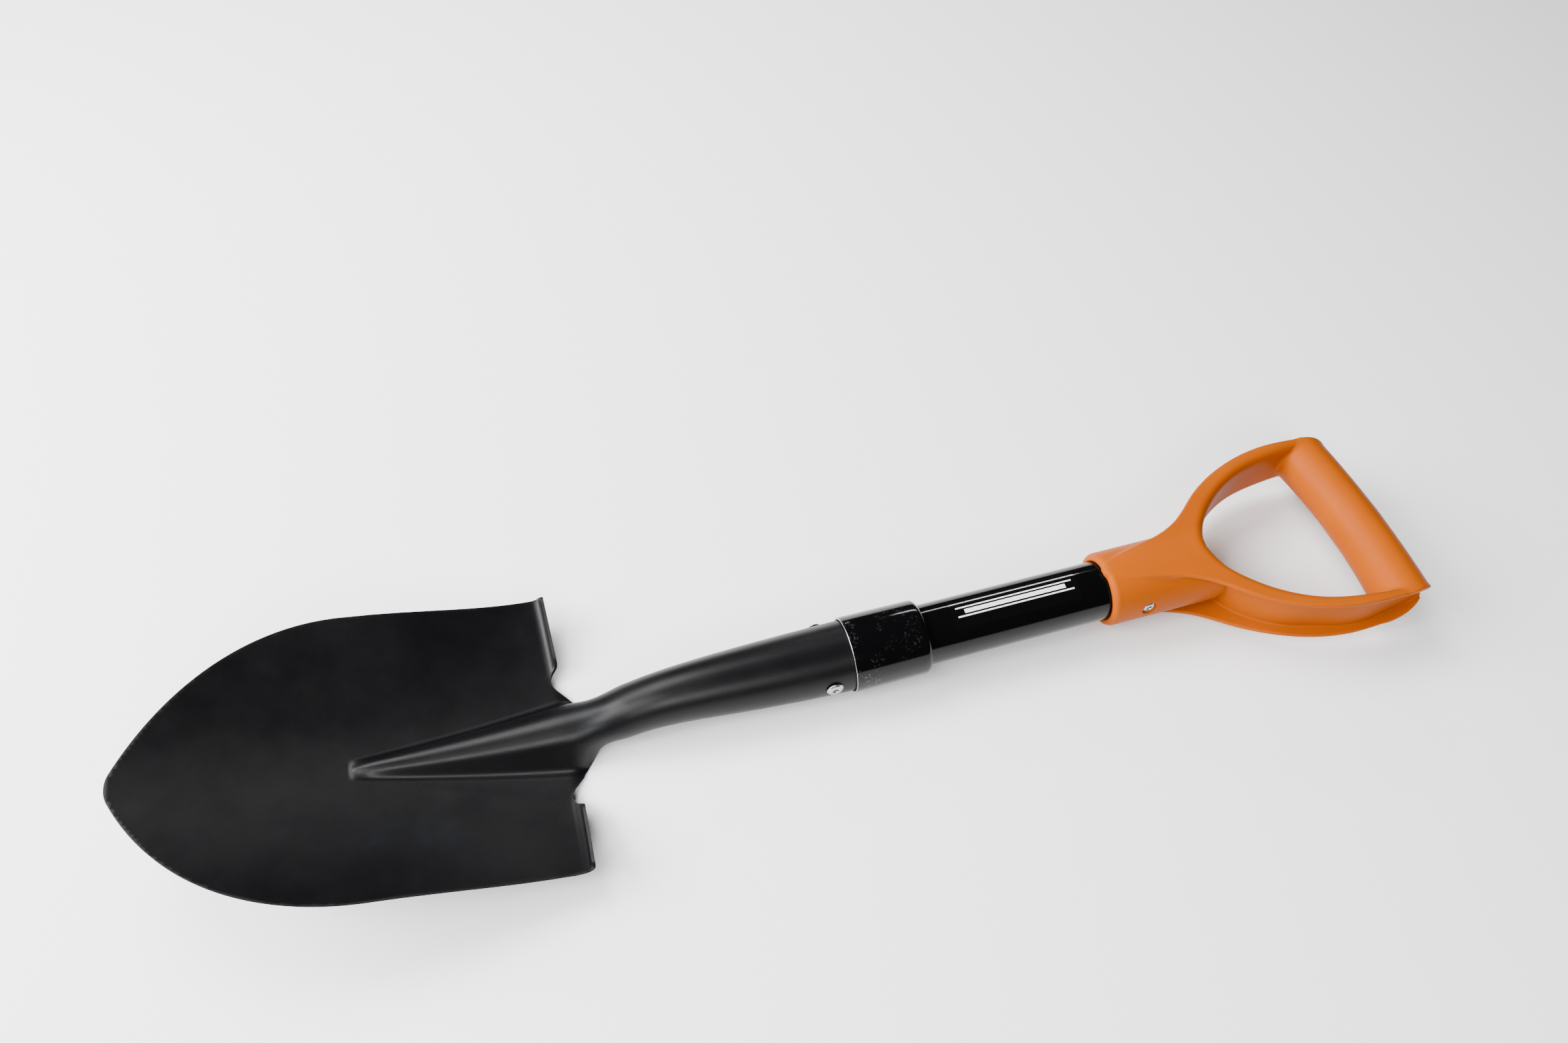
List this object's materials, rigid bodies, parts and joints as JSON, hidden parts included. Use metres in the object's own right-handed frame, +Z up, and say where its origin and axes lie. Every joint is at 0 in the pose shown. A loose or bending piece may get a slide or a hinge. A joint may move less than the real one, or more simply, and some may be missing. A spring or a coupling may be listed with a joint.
{
  "type": "compact D-handle digging shovel",
  "caption": "Compact round-point digging shovel: black stamped blade with rolled socket, gloss black collar and shaft, orange moulded D-grip and blind rivets",
  "frame": {"origin": "on the floor under the middle of the bounding box, tool lying on its back", "axes": "+X from the blade towards the hand grip, +Y lateral, +Z up, the blade's working face up; the shaft rises 2 degrees towards the grip"},
  "size_m": [0.65, 0.1506, 0.0572],
  "materials": {
    "powder_coat": "satin black powder coat with a fine orange peel",
    "gloss_black": "gloss black enamel",
    "orange_plastic": "semi-gloss orange moulded plastic with a fine grain",
    "printed_film": null,
    "rivet_metal": "bright pressed rivet metal",
    "mandrel_steel": "plain steel, snapped end"
  },
  "bodies": {
    "root": {"blade": "powder_coat", "collar": "gloss_black", "shaft_tube": "gloss_black", "d_handle": "orange_plastic", "shaft_marking": "printed_film", "socket_rivet_left": "rivet_metal", "socket_rivet_right": "rivet_metal", "handle_rivet_left": "rivet_metal", "handle_rivet_right": "rivet_metal", "socket_mandrel_left": "mandrel_steel", "socket_mandrel_right": "mandrel_steel", "handle_mandrel_left": "mandrel_steel", "handle_mandrel_right": "mandrel_steel"}
  },
  "joints": []
}
